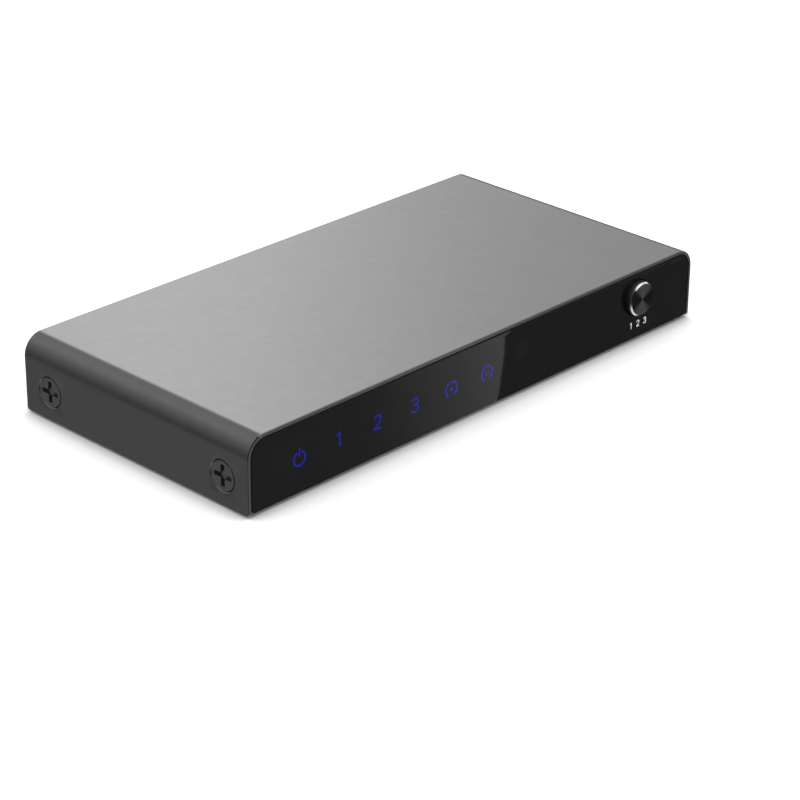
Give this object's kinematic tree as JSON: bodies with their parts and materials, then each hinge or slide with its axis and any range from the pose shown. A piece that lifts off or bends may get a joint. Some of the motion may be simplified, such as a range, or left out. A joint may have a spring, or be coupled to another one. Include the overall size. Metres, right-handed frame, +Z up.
{
  "type": "hdmi switch box",
  "caption": "Low metal-cased video switch box with a gloss black front, lit legends, an infrared window, a round select button, and a row of video sockets behind.",
  "frame": {"origin": "middle of the footprint, on the surface that the feet stand on", "axes": "+X to the right seen from the front, +Y to the rear sockets, +Z up; the front panel faces -Y"},
  "size_m": [0.126, 0.0649, 0.0159],
  "materials": {
    "cover_paint": "satin dark grey metallic coat",
    "tray_paint": "satin dark grey coat",
    "panel_gloss": "polished black acrylic",
    "screw_dark": "dark grey plated steel",
    "plated_steel": "zinc plated",
    "foot_rubber": "matt moulded rubber",
    "board_mask": "green solder mask",
    "socket_nickel": "nickel plated sheet",
    "black_plastic": "moulded black plastic",
    "contact_gold": "gold plated",
    "tape_black": "black double-sided tape",
    "button_metal": "spun dark anodised face with a bright cut bevel",
    "smoked_epoxy": "infrared-passing dark epoxy",
    "led_white": "white moulding",
    "switch_white": "white moulding",
    "chip_epoxy": "black moulding compound",
    "ceramic_tan": "fired ceramic",
    "can_metal": "drawn can"
  },
  "bodies": {
    "housing": {"top_cover": "cover_paint", "base_tray": "tray_paint", "rear_panel": "tray_paint", "front_panel": "panel_gloss", "panel_tape": "tape_black", "side_screws": "screw_dark", "clinch_nuts": "plated_steel", "rubber_feet": "foot_rubber", "main_board": "board_mask", "board_standoffs": "plated_steel", "board_screws": "plated_steel", "video_in_1_shell": "socket_nickel", "video_in_2_shell": "socket_nickel", "video_in_3_shell": "socket_nickel", "video_out_shell": "socket_nickel", "video_in_1_insert": "black_plastic", "video_in_2_insert": "black_plastic", "video_in_3_insert": "black_plastic", "video_out_insert": "black_plastic", "video_contacts": "contact_gold", "dc_jack_body": "black_plastic", "dc_jack_pin": "plated_steel", "dc_jack_terminals": "plated_steel", "ir_receiver": "smoked_epoxy", "ir_receiver_leads": "plated_steel", "status_leds": "led_white", "light_block": "black_plastic", "tact_switch_base": "black_plastic", "tact_switch_frame": "plated_steel", "tact_switch_dome": "plated_steel", "switch_chip": "chip_epoxy", "microcontroller": "chip_epoxy", "voltage_regulator": "chip_epoxy", "crystal": "can_metal", "power_inductor": "chip_epoxy", "electrolytic_capacitors": "can_metal", "chip_capacitors": "ceramic_tan", "chip_resistors": "chip_epoxy", "surge_arrays": "chip_epoxy"},
    "select_button": {"select_button_cap": "button_metal", "select_button_plunger": "black_plastic", "tact_switch_stem": "switch_white"}
  },
  "joints": [
    {"name": "select_press", "type": "slide", "parent": "housing", "child": "select_button", "axis": [0, 1, 0], "range_m": [0, 0.0005], "stiffness_N_per_m": 2500, "deforming": ["tact_switch_dome"]}
  ]
}
